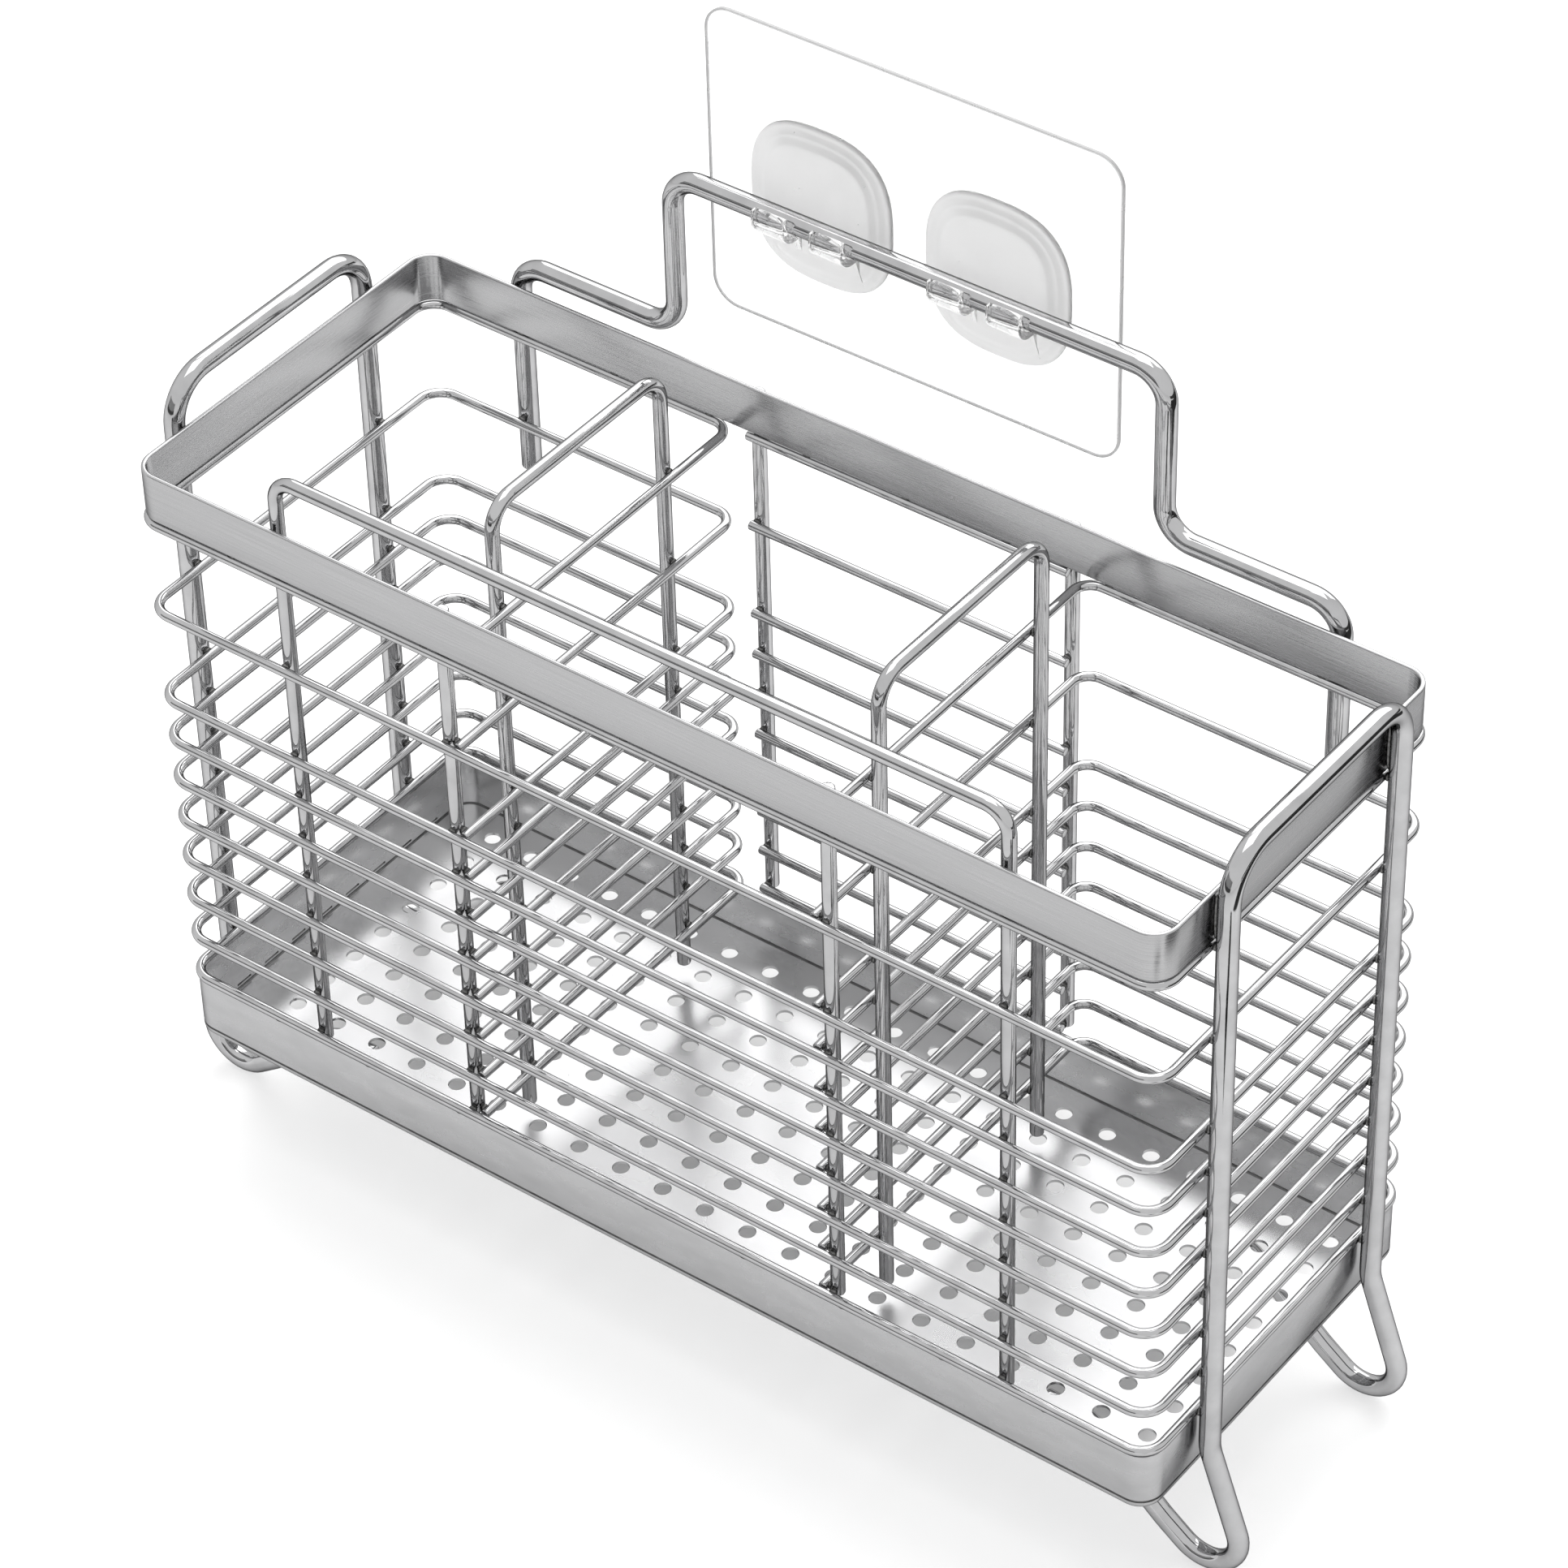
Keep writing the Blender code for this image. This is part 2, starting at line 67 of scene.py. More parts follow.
DIVIDER_BEND = 0.005
LEVELS = 10
WIRE_SIDES = 20
BEND_STEP = math.radians(7.5)
LEAST_BEND_STEPS = 3
EASED_END = 0.0004
EASED_STEPS = 3
MERGE_DISTANCE = 0.000002
SHARP_ANGLE = math.radians(38)
NOISE_DARK, NOISE_LIGHT = 0.3, 0.7
GRAIN_DETAIL, RELIEF_DETAIL = 4.0, 2.0
EDGE_TINT = (0.2, 0.2, 0.2, 1)
QUARTER_TURN = 0.25

level_low, level_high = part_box("level_wire_10")
HALF_LENGTH = level_high.x - THIN_WIRE / 2
HALF_DEPTH = (level_high.y - level_low.y - THIN_WIRE) / 2
middle_y = (level_high.y + level_low.y) / 2
base_z = (level_high.z + level_low.z) / 2
rack_place = Matrix.Translation((0, middle_y, base_z))


def node_middle(node):
    """The middle of a CAD node, measured from the middle of the lowest level wire."""
    low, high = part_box(node)
    return (low.x + high.x) / 2, (low.y + high.y) / 2 - middle_y, (low.z + high.z) / 2 - base_z


def run_straight(bm, loop, step):
    """Extrudes an open end of a wire or strip straight on."""
    made = bmesh.ops.extrude_edge_only(bm, edges=loop)["geom"]
    moved = [v for v in made if isinstance(v, bmesh.types.BMVert)]
    bmesh.ops.translate(bm, verts=moved, vec=step)
    old = set(loop)
    ends = [e for e in made if isinstance(e, bmesh.types.BMEdge) and e not in old]
    return [e for e in ends if len(e.link_faces) == 1]


def bend_round(bm, loop, centre, axis, angle):
    """Spins an open end of a wire or strip round the centre of a bend."""
    steps = max(LEAST_BEND_STEPS, round(angle / BEND_STEP))
    made = bmesh.ops.spin(bm, geom=loop, cent=centre, axis=axis, angle=angle, steps=steps)
    return [e for e in made["geom_last"] if isinstance(e, bmesh.types.BMEdge)]


def follow_corners(bm, loop, corners, radii):
    """Takes an open end along straight runs and round the bends between them."""
    here = corners[0]
    for i, radius in enumerate(radii, start=1):
        back = (corners[i - 1] - corners[i]).normalized()
        onward = (corners[i + 1] - corners[i]).normalized()
        half_angle = back.angle(onward) / 2
        reach = radius / math.tan(half_angle)
        centre = corners[i] + (back + onward).normalized() * radius / math.sin(half_angle)
        loop = run_straight(bm, loop, corners[i] + back * reach - here)
        loop = bend_round(bm, loop, centre, onward.cross(back), math.pi - 2 * half_angle)
        here = corners[i] + onward * reach
    return run_straight(bm, loop, corners[-1] - here)


def round_off(bm, geom, offset, segments, affect="EDGES"):
    """Rounds edges or corners off."""
    bmesh.ops.bevel(bm, geom=geom, offset=offset, segments=segments, profile=0.5,
                    affect=affect, material=-1)


def bent_wire(corners, radii, diameter, eased):
    """A round wire: runs are extruded, bends are spun, and the cut ends are closed and eased."""
    bm = bmesh.new()
    corners = [Vector(corner) for corner in corners]
    heading = (corners[1] - corners[0]).to_track_quat("Z", "Y").to_matrix().to_4x4()
    bmesh.ops.create_circle(bm, segments=WIRE_SIDES, radius=diameter / 2,
                            matrix=Matrix.Translation(corners[0]) @ heading)
    first = bm.edges[:]
    last = follow_corners(bm, first, corners, radii)
    for loop in (first, last):
        bmesh.ops.edgeloop_fill(bm, edges=loop)
    round_off(bm, first + last, eased, EASED_STEPS)
    return bm


def fit_piece(name, bm, finishes, stands_for, body="rack", place=rack_place):
    """Closes a bmesh into a piece of the object, in its place, riding on its body."""
    bmesh.ops.remove_doubles(bm, verts=bm.verts, dist=MERGE_DISTANCE)
    bmesh.ops.transform(bm, matrix=place, verts=bm.verts)
    bmesh.ops.recalc_face_normals(bm, faces=bm.faces)
    mesh = bpy.data.meshes.new(name)
    bm.to_mesh(mesh)
    bm.free()
    mesh.shade_smooth()
    mesh.set_sharp_from_angle(angle=SHARP_ANGLE)
    for finish in finishes:
        mesh.materials.append(finish)
    piece = bpy.data.objects.new(name, mesh)
    bpy.context.scene.collection.objects.link(piece)
    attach(piece, body)
    if stands_for:
        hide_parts(*stands_for)


def fit_wire(node, corners, radii, diameter, eased=EASED_END):
    """A polished wire in the place of its CAD node."""
    fit_piece(f"{node}_steel", bent_wire(corners, radii, diameter, eased), [drawn_wire],
              [node])


def new_material(name):
    """A material, with its nodes, its links and its shader."""
    material = bpy.data.materials.new(name)
    material.use_nodes = True
    nodes = material.node_tree.nodes
    return material, nodes, material.node_tree.links, nodes["Principled BSDF"]


def add_node(nodes, kind, values):
    """A new node with the given input values."""
    node = nodes.new(kind)
    for name, value in values.items():
        node.inputs[name].default_value = value
    return node


def add_noise(nodes, links, scale, detail):
    """A noise on the piece's own coordinates, drawn out along each axis by the scale."""
    place = nodes.new("ShaderNodeTexCoord")
    drawn = add_node(nodes, "ShaderNodeMapping", {"Scale": scale})
    noise = add_node(nodes, "ShaderNodeTexNoise", {"Scale": 1.0, "Detail": detail})
    links.new(place.outputs["Object"], drawn.inputs["Vector"])
    links.new(drawn.outputs["Vector"], noise.inputs["Vector"])
    return noise.outputs["Fac"]


def add_roughness(nodes, links, shader, noise, values):
    """A roughness that follows a noise."""
    rough = add_node(nodes, "ShaderNodeMapRange", values)
    links.new(noise, rough.inputs["Value"])
    links.new(rough.outputs["Result"], shader.inputs["Roughness"])


def add_relief(nodes, links, shader, noise, depth):
    """A relief that follows a noise."""
    bump = add_node(nodes, "ShaderNodeBump", {"Distance": depth})
    links.new(noise, bump.inputs["Height"])
    links.new(bump.outputs["Normal"], shader.inputs["Normal"])


def steel(name, dark, light, grain, roughness, relief=0.0, relief_scale=(1, 1, 1), anisotropy=0.0):
    """Stainless steel: a tone that drifts with the grain, an uneven roughness and a relief."""
    material, nodes, links, shader = new_material(name)
    shader.inputs["Metallic"].default_value = 1.0
    shader.inputs["Specular Tint"].default_value = EDGE_TINT
    shader.inputs["Anisotropic"].default_value = anisotropy
    noise = add_noise(nodes, links, grain, GRAIN_DETAIL)
    tone = nodes.new("ShaderNodeValToRGB")
    stops = tone.color_ramp.elements
    stops[0].position, stops[1].position = NOISE_DARK, NOISE_LIGHT
    stops[0].color, stops[1].color = (*dark, 1), (*light, 1)
    links.new(noise, tone.inputs["Fac"])
    links.new(tone.outputs["Color"], shader.inputs["Base Color"])
    add_roughness(nodes, links, shader, noise, {"From Min": NOISE_DARK, "From Max": NOISE_LIGHT,
                                                "To Min": roughness[0], "To Max": roughness[1]})
    if relief:
        swell = add_noise(nodes, links, relief_scale, RELIEF_DETAIL)
        add_relief(nodes, links, shader, swell, relief)
    if anisotropy:
        along = nodes.new("ShaderNodeTangent")
        along.direction_type = "RADIAL"
        along.axis = "Z"
        links.new(along.outputs["Tangent"], shader.inputs["Tangent"])
        shader.inputs["Anisotropic Rotation"].default_value = QUARTER_TURN
    return material


drawn_wire = steel("drawn_wire", (0.44, 0.44, 0.445), (0.52, 0.52, 0.525), grain=(160, 160, 160),
                   roughness=(0.04, 0.09), relief=0.00001, relief_scale=(260, 260, 260))

level_heights = [node_middle(f"level_wire_{number:02d}")[2] for number in range(1, LEVELS + 1)]
wire_end_y = -HALF_DEPTH + THIN_WIRE / 2 + GAP
right_half = [(HALF_LENGTH, -HALF_DEPTH), (HALF_LENGTH, HALF_DEPTH), (DIVIDER_X, HALF_DEPTH),
              (DIVIDER_X, wire_end_y)]
level_corners = [(-x, y) for x, y in reversed(right_half)] + right_half
level_bends = [DIVIDER_BEND] + [CORNER_BEND] * 4 + [DIVIDER_BEND]
for number, height in enumerate(level_heights, start=1):
    corners = [(x, y, height) for x, y in level_corners]
    fit_wire(f"level_wire_{number:02d}", corners, level_bends, THIN_WIRE)

# Middle back wires: ten short lengths of the same thin wire that close the back of the middle
# compartment. They are cut just past the two back posts and spot welded to them.
for number, height in enumerate(level_heights, start=1):
    node = f"middle_back_wire_{number:02d}"
    end_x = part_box(node)[1].x
    corners = [(-end_x, HALF_DEPTH, height), (end_x, HALF_DEPTH, height)]
    fit_wire(node, corners, [], THIN_WIRE)

# Posts: four straight lengths of medium wire, sawn square. Two stand inside the front wires beside
# the dividers, and two stand behind the middle back wires. Their tops end behind the rim band.
MEDIUM_WIRE = 0.0035
for node in ("front_post_left", "front_post_right", "back_post_left", "back_post_right"):
    low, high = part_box(node)
    x, y = node_middle(node)[:2]
    fit_wire(node, [(x, y, low.z - base_z), (x, y, high.z - base_z)], [], MEDIUM_WIRE)

# Rim band: one flat stainless strip with rolled edges, bent on edge round the top of the basket and
# brushed along its length. It stands on the highest wire and is welded to the uprights that pass
# it.
BAND_THICKNESS = 0.0012
BAND_EDGE = 0.00045
band_low, band_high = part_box("rim_band")
BAND_BOTTOM = band_low.z - base_z
BAND_TOP = band_high.z - base_z

brushed_strip = steel("brushed_strip", (0.41, 0.41, 0.415), (0.51, 0.51, 0.515),
                      grain=(34, 34, 3600), roughness=(0.20, 0.30), relief=0.000003,
                      relief_scale=(40, 40, 6000), anisotropy=0.7)

bm = bmesh.new()
section = (Matrix.Translation((0, -HALF_DEPTH, (BAND_BOTTOM + BAND_TOP) / 2))
           @ Matrix.Rotation(math.pi / 2, 4, "Y"))
section_size = Matrix.Diagonal((BAND_TOP - BAND_BOTTOM, BAND_THICKNESS, 1, 1))
bmesh.ops.create_grid(bm, x_segments=1, y_segments=1, size=0.5, matrix=section @ section_size)
round_off(bm, bm.verts[:], BAND_EDGE, EASED_STEPS, "VERTICES")
bmesh.ops.delete(bm, geom=bm.faces[:], context="FACES_ONLY")
start = Vector((0, -HALF_DEPTH, 0))
corners = [Vector((x, y, 0)) for x, y in ((HALF_LENGTH, -HALF_DEPTH), (HALF_LENGTH, HALF_DEPTH),
                                          (-HALF_LENGTH, HALF_DEPTH), (-HALF_LENGTH, -HALF_DEPTH))]
follow_corners(bm, bm.edges[:], [start] + corners + [start], [CORNER_BEND] * 4)
fit_piece("rim_band_steel", bm, [brushed_strip], ["rim_band"])

# Front guard: one medium wire bent into a wide upside-down U that stands inside the front wires.
# Its bar rises above the rim band and keeps tall utensils off the front.
GUARD_BEND = 0.006
low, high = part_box("front_guard")
guard_leg_x = high.x - MEDIUM_WIRE / 2
guard_y = node_middle("front_guard")[1]
bottom, top = low.z - base_z, high.z - MEDIUM_WIRE / 2 - base_z
corners = [(-guard_leg_x, guard_y, bottom), (-guard_leg_x, guard_y, top),
           (guard_leg_x, guard_y, top), (guard_leg_x, guard_y, bottom)]
fit_wire("front_guard", corners, [GUARD_BEND] * 2, MEDIUM_WIRE)

# Divider frames: two upside-down U shapes of medium wire that stiffen the dividers. Each stands
# against the outer side of its divider wires, with its leg ends just above the tray.
DIVIDER_FRAME_BEND = 0.007
DIVIDER_FRAME_EASED = 0.0007
for node in ("divider_frame_left", "divider_frame_right"):
    low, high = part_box(node)
    x = node_middle(node)[0]
    divider_leg_y = (high.y - low.y - MEDIUM_WIRE) / 2
    bottom, top = low.z - base_z, high.z - MEDIUM_WIRE / 2 - base_z
    corners = [(x, -divider_leg_y, bottom), (x, -divider_leg_y, top),
               (x, divider_leg_y, top), (x, divider_leg_y, bottom)]
    fit_wire(node, corners, [DIVIDER_FRAME_BEND] * 2, MEDIUM_WIRE, DIVIDER_FRAME_EASED)

# Side frames: one thick wire at each end makes the carrying handle, both legs and both feet. Each
# leg runs out and down to its foot, turns back up in a round bend and ends flat under the tray.
THICK_WIRE = 0.0051
THICK_EASED = 0.0006
SIDE_LEG_Y = 0.0335
HANDLE_BEND = 0.011
KNEE_DROP = 0.010
KNEE_BEND = 0.012
FOOT_SPREAD = 0.01245
FOOT_DROP = 0.0353
FOOT_BEND = 0.009
# FOOT_OVER takes the corner of the foot bend further out, so that its round bend still reaches the
# floor, and FOOT_BOW is where the foot's tail bows a little.
FOOT_OVER_X = 0.00508
FOOT_OVER_Z = 0.00807
FOOT_BOW_X = 0.024
FOOT_BOW_Z = 0.0215
FOOT_REACH = 0.045
FOOT_TAIL = 0.012
TAIL_BEND = 0.008
BOW_BEND = 0.03
TRAY_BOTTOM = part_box("drip_tray")[0].z - base_z
side_leg_x = HALF_LENGTH + THIN_WIRE / 2 + GAP + THICK_WIRE / 2
corner_x = side_leg_x + FOOT_SPREAD
tail_x = corner_x - FOOT_REACH
tail_z = TRAY_BOTTOM - GAP - THICK_WIRE / 2
handle_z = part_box("side_frame_right")[1].z - THICK_WIRE / 2 - base_z
foot = [(tail_x - FOOT_TAIL, tail_z), (tail_x, tail_z),
        (corner_x - FOOT_BOW_X, TRAY_BOTTOM - FOOT_BOW_Z),
        (corner_x + FOOT_OVER_X, TRAY_BOTTOM - FOOT_DROP - FOOT_OVER_Z),
        (side_leg_x, -KNEE_DROP), (side_leg_x, handle_z)]
bends = [TAIL_BEND, BOW_BEND, FOOT_BEND, KNEE_BEND, HANDLE_BEND]
for side, sign in (("left", -1), ("right", 1)):
    corners = [(sign * x, -SIDE_LEG_Y, z) for x, z in foot]
    corners += [(x, SIDE_LEG_Y, z) for x, y, z in reversed(corners)]
    fit_wire(f"side_frame_{side}", corners, bends + bends[::-1], THICK_WIRE, THICK_EASED)

# Hanger: one thick wire behind the basket with two legs, two level shelves and the raised bar that
# hangs in the hooks. Its legs are welded to the two highest wires and the band.
HANGER_LEG_X = 0.1143
HANGER_SHELF_RISE = 0.0042
HANGER_UPRIGHT_X = 0.0675
HANGER_BEND = 0.008
low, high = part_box("back_hanger")
bar_y = node_middle("back_hanger")[1]
bar_z = high.z - THICK_WIRE / 2 - base_z
shelf_z = BAND_TOP + HANGER_SHELF_RISE
right_half = [(HANGER_UPRIGHT_X, bar_z), (HANGER_UPRIGHT_X, shelf_z), (HANGER_LEG_X, shelf_z),
              (HANGER_LEG_X, low.z - base_z)]
corners = [(-x, bar_y, z) for x, z in reversed(right_half)] + [(x, bar_y, z) for x, z in right_half]
fit_wire("back_hanger", corners, [HANGER_BEND] * 6, THICK_WIRE, THICK_EASED)

# Drip tray: a shallow tray pressed from thin stainless sheet, satin on its walls, with rows of
# round holes. Its floor is coloured a little lighter than its outer walls and its inner walls much
# lighter still: painted light, lit copies of the one sheet's steel. A groove runs round it just
# above its lower bend, and short slits are cut in this groove at both ends; the groove, the slit
# walls and the inner bend are coloured near black as painted shade.
TRAY_SHEET = 0.0008
TRAY_BEND = 0.0012
TRAY_BEND_STEPS = 6
TRAY_CORNER_STEPS = 12
TRAY_RIM = 0.0003
TRAY_RIM_STEPS = 2
CREASE_HEIGHT = 0.0018
CREASE_WIDTH = 0.0007
CREASE_DEPTH = 0.00012
CREASE_SLOPE = 0.00002
HOLE_DIAMETER = 0.0043
HOLE_SIDES = 20
HOLE_PITCH_X = 0.01255
HOLE_PITCH_Y = 0.0109
HOLE_SHIFT_X = 0.0014
HOLE_EDGE = 0.0048
SLIT_COUNT = 8
SLIT_LENGTH = 0.0051
SLIT_WIDTH = 0.0006
SLIT_HEIGHT = 0.0021
SLIT_PITCH = 0.0104
SLIT_SHIFT_Y = 0.0016
TOUCH = 0.00001
UPRIGHT_NORMAL, LEVEL_NORMAL, FLAT_NORMAL = 0.05, 0.9, 0.995
TRAY_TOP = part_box("drip_tray")[1].z - base_z

tray_finishes = [
    steel("satin_wall", (0.44, 0.44, 0.445), (0.50, 0.50, 0.505), grain=(90, 90, 260),
          roughness=(0.22, 0.30), relief=0.00008, relief_scale=(22, 22, 60)),
    # The tray floor's steel is a lighter copy of the wall steel: painted light.
    steel("painted_light_tray_floor", (0.47, 0.47, 0.475), (0.59, 0.59, 0.595), grain=(26, 38, 26),
          roughness=(0.20, 0.34), relief=0.0006, relief_scale=(22, 30, 22)),
    # The inner walls' steel is a much lighter copy of the wall steel: painted light for the light
    # they catch.
    steel("painted_light_inner_wall", (0.84, 0.84, 0.845), (0.92, 0.92, 0.925), grain=(70, 70, 200),
          roughness=(0.22, 0.32), relief=0.00008, relief_scale=(22, 22, 60)),
    # Near-black steel for the groove, the slit walls and the inner bend: painted shade in these
    # creases.
    steel("painted_shade_crease", (0.10, 0.10, 0.10), (0.22, 0.22, 0.22), grain=(300, 300, 300),
          roughness=(0.4, 0.6))]
PAINTED_LIGHT_FLOOR, PAINTED_LIGHT_INNER_WALL, PAINTED_SHADE_FINISH = 1, 2, 3


def hole_places(half, pitch, shift):
    """Places of a row of holes that keeps clear of the bends."""
    limit = half - TRAY_SHEET / 2 - TRAY_BEND - HOLE_EDGE - HOLE_DIAMETER / 2
    reach = math.ceil(2 * half / pitch)
    places = [shift + i * pitch for i in range(-reach, reach + 1)]
    return [place for place in places if abs(place) <= limit]


def loose_object(name, bm, finishes=()):
    """A bmesh made an object that isn't a finished piece."""
    mesh = bpy.data.meshes.new(name)
    bm.to_mesh(mesh)
    bm.free()
    for finish in finishes:
        mesh.materials.append(finish)
    obj = bpy.data.objects.new(name, mesh)
    bpy.context.scene.collection.objects.link(obj)
    return obj


def made_solid(obj, tools=()):
    """An object with its modifiers applied, as a bmesh. The object and its tools are removed."""
    bpy.context.view_layer.update()
    graph = bpy.context.evaluated_depsgraph_get()
    mesh = bpy.data.meshes.new_from_object(obj.evaluated_get(graph))
    bm = bmesh.new()
    bm.from_mesh(mesh)
    for used in (obj, *tools):
        bpy.data.objects.remove(used, do_unlink=True)
    return bm


def boolean(obj, name, tool, operation):
    """Cuts a tool object out of an object, or joins it on, once the object is made solid."""
    change = obj.modifiers.new(name, "BOOLEAN")
    change.operation = operation
    change.solver = "EXACT"
    change.object = tool


bm = bmesh.new()
half_x, half_y = HALF_LENGTH + TRAY_SHEET / 2, HALF_DEPTH + TRAY_SHEET / 2
bmesh.ops.create_grid(bm, x_segments=1, y_segments=1, size=0.5,
                      matrix=Matrix.Translation((0, 0, TRAY_BOTTOM))
                      @ Matrix.Diagonal((2 * half_x, 2 * half_y, 1, 1)))
round_off(bm, bm.verts[:], CORNER_BEND, TRAY_CORNER_STEPS, "VERTICES")
walls = bmesh.ops.extrude_edge_only(bm, edges=bm.edges[:])["geom"]
bmesh.ops.translate(bm, verts=[v for v in walls if isinstance(v, bmesh.types.BMVert)],
                    vec=(0, 0, TRAY_TOP - TRAY_BOTTOM))
lower_edges = [e for e in bm.edges if all(v.co.z < TRAY_BOTTOM + GAP for v in e.verts)]
round_off(bm, lower_edges, TRAY_BEND, TRAY_BEND_STEPS)
bmesh.ops.recalc_face_normals(bm, faces=bm.faces)
if sum(f.normal.z * f.calc_area() for f in bm.faces) > 0:
    bmesh.ops.reverse_faces(bm, faces=bm.faces)
pressed = loose_object("pressed_tray", bm)
shell = pressed.modifiers.new("Sheet thickness", "SOLIDIFY")
shell.thickness = TRAY_SHEET
shell.offset = -1
shell.use_even_offset = True
bm = made_solid(pressed)
rims = [e for e in bm.edges if all(v.co.z > TRAY_TOP - GAP for v in e.verts)
        and len(e.link_faces) == 2
        and abs(e.link_faces[0].normal.z - e.link_faces[1].normal.z) > 0.5]
round_off(bm, rims, TRAY_RIM, TRAY_RIM_STEPS)
crease_low, crease_high = TRAY_BOTTOM + CREASE_HEIGHT, TRAY_BOTTOM + CREASE_HEIGHT + CREASE_WIDTH
for height in (crease_low, crease_high):
    bmesh.ops.bisect_plane(bm, geom=bm.verts[:] + bm.edges[:] + bm.faces[:],
                           plane_co=(0, 0, height), plane_no=(0, 0, 1))
bm.normal_update()
crease = [f for f in bm.faces if crease_low < f.calc_center_median().z < crease_high
          and f.calc_center_median().dot(f.normal) > 0]
bmesh.ops.inset_region(bm, faces=crease, thickness=CREASE_SLOPE, depth=-CREASE_DEPTH,
                       use_even_offset=True)
pressed = loose_object("pressed_tray", bm, tray_finishes)

bm = bmesh.new()
for x in hole_places(HALF_LENGTH, HOLE_PITCH_X, HOLE_SHIFT_X):
    for y in hole_places(HALF_DEPTH, HOLE_PITCH_Y, 0):
        bmesh.ops.create_cone(bm, cap_ends=True, segments=HOLE_SIDES, depth=TRAY_SHEET * 3,
                              radius1=HOLE_DIAMETER / 2, radius2=HOLE_DIAMETER / 2,
                              matrix=Matrix.Translation((x, y, TRAY_BOTTOM + TRAY_SHEET / 2)))
punches = loose_object("punches", bm)

bm = bmesh.new()
blade = Matrix.Diagonal((TRAY_SHEET * 4, SLIT_LENGTH, SLIT_WIDTH, 1))
for x in (-half_x, half_x):
    for i in range(SLIT_COUNT):
        y = (i - (SLIT_COUNT - 1) / 2) * SLIT_PITCH + SLIT_SHIFT_Y
        place = Matrix.Translation((x, y, TRAY_BOTTOM + SLIT_HEIGHT))
        bmesh.ops.create_cube(bm, size=1, matrix=place @ blade)
# The slit walls take the near-black steel: painted shade inside the slits.
for face in bm.faces:
    face.material_index = PAINTED_SHADE_FINISH
blades = loose_object("slit_blades", bm, tray_finishes)

boolean(pressed, "Holes", punches, "DIFFERENCE")
boolean(pressed, "Slits", blades, "DIFFERENCE")
bm = made_solid(pressed, (punches, blades))
for face in bm.faces:
    middle, normal = face.calc_center_median(), face.normal
    outward = middle.x * normal.x + middle.y * normal.y > 0
    in_groove = all(crease_low - TOUCH < v.co.z < crease_high + TOUCH for v in face.verts)
    in_bend = (UPRIGHT_NORMAL < normal.z < FLAT_NORMAL
               and middle.z < TRAY_BOTTOM + TRAY_SHEET + TRAY_BEND)
    # The outer groove and the inner bend take the near-black steel: painted shade in the creases.
    if (outward and in_groove) or (in_bend and not outward):
        face.material_index = PAINTED_SHADE_FINISH
    elif face.material_index != PAINTED_SHADE_FINISH:
        # Floor faces and inner wall faces take the lighter copies of the wall steel: painted light.
        if normal.z > LEVEL_NORMAL and middle.z < TRAY_BOTTOM + 2 * TRAY_SHEET:
            face.material_index = PAINTED_LIGHT_FLOOR
        elif not outward and middle.z > TRAY_BOTTOM + TRAY_SHEET:
            face.material_index = PAINTED_LIGHT_INNER_WALL
fit_piece("drip_tray_steel", bm, tray_finishes, ["drip_tray"])

# Weld spots: a small flattened nugget of melted steel at each crossing, where the wires, band and
# tray are joined by resistance welding. They are left darker and duller than the polished wire.
# Their sizes are depth through the joint, width and height.
WIRE_WELD = (0.0016, 0.0023, 0.0023)
THICK_WIRE_WELD = (0.0018, 0.0026, 0.0022)
BAND_WELD = (0.0014, 0.0014, 0.0115)
THICK_BAND_WELD = (0.0015, 0.0016, 0.0125)
BAND_WELD_OUT = 0.00045
EDGE_WELD = (0.001, 0.0022, 0.0011)
EDGE_WELDS = 4
TAIL_WELD = (0.0026, 0.004, 0.0012)
TAIL_WELD_IN = 0.006
weld_steel = steel("weld_steel", (0.05, 0.05, 0.049), (0.24, 0.238, 0.235),
                   grain=(900, 900, 900), roughness=(0.25, 0.45), relief=0.00005,
                   relief_scale=(1500, 1500, 1500))
front_post_x = node_middle("front_post_right")[0]
back_post_x = node_middle("back_post_right")[0]
front_contact = -HALF_DEPTH + THIN_WIRE / 2 + GAP / 2
back_contact = HALF_DEPTH + THIN_WIRE / 2 + GAP / 2
divider_contact = DIVIDER_X + THIN_WIRE / 2 + GAP / 2
end_contact = HALF_LENGTH + THIN_WIRE / 2 + GAP / 2
band_out = BAND_THICKNESS / 2 + BAND_WELD_OUT
band_middle = (BAND_BOTTOM + BAND_TOP) / 2

bm = bmesh.new()


def weld(x, y, z, facing, size=WIRE_WELD):
    """One nugget, turned so that its depth lies along x or y."""
    depth, width, height = size
    spread = (depth, width, height) if facing == "x" else (width, depth, height)
    bmesh.ops.create_uvsphere(bm, u_segments=8, v_segments=6, radius=0.5,
                              matrix=Matrix.Translation((x, y, z)) @ Matrix.Diagonal((*spread, 1)))


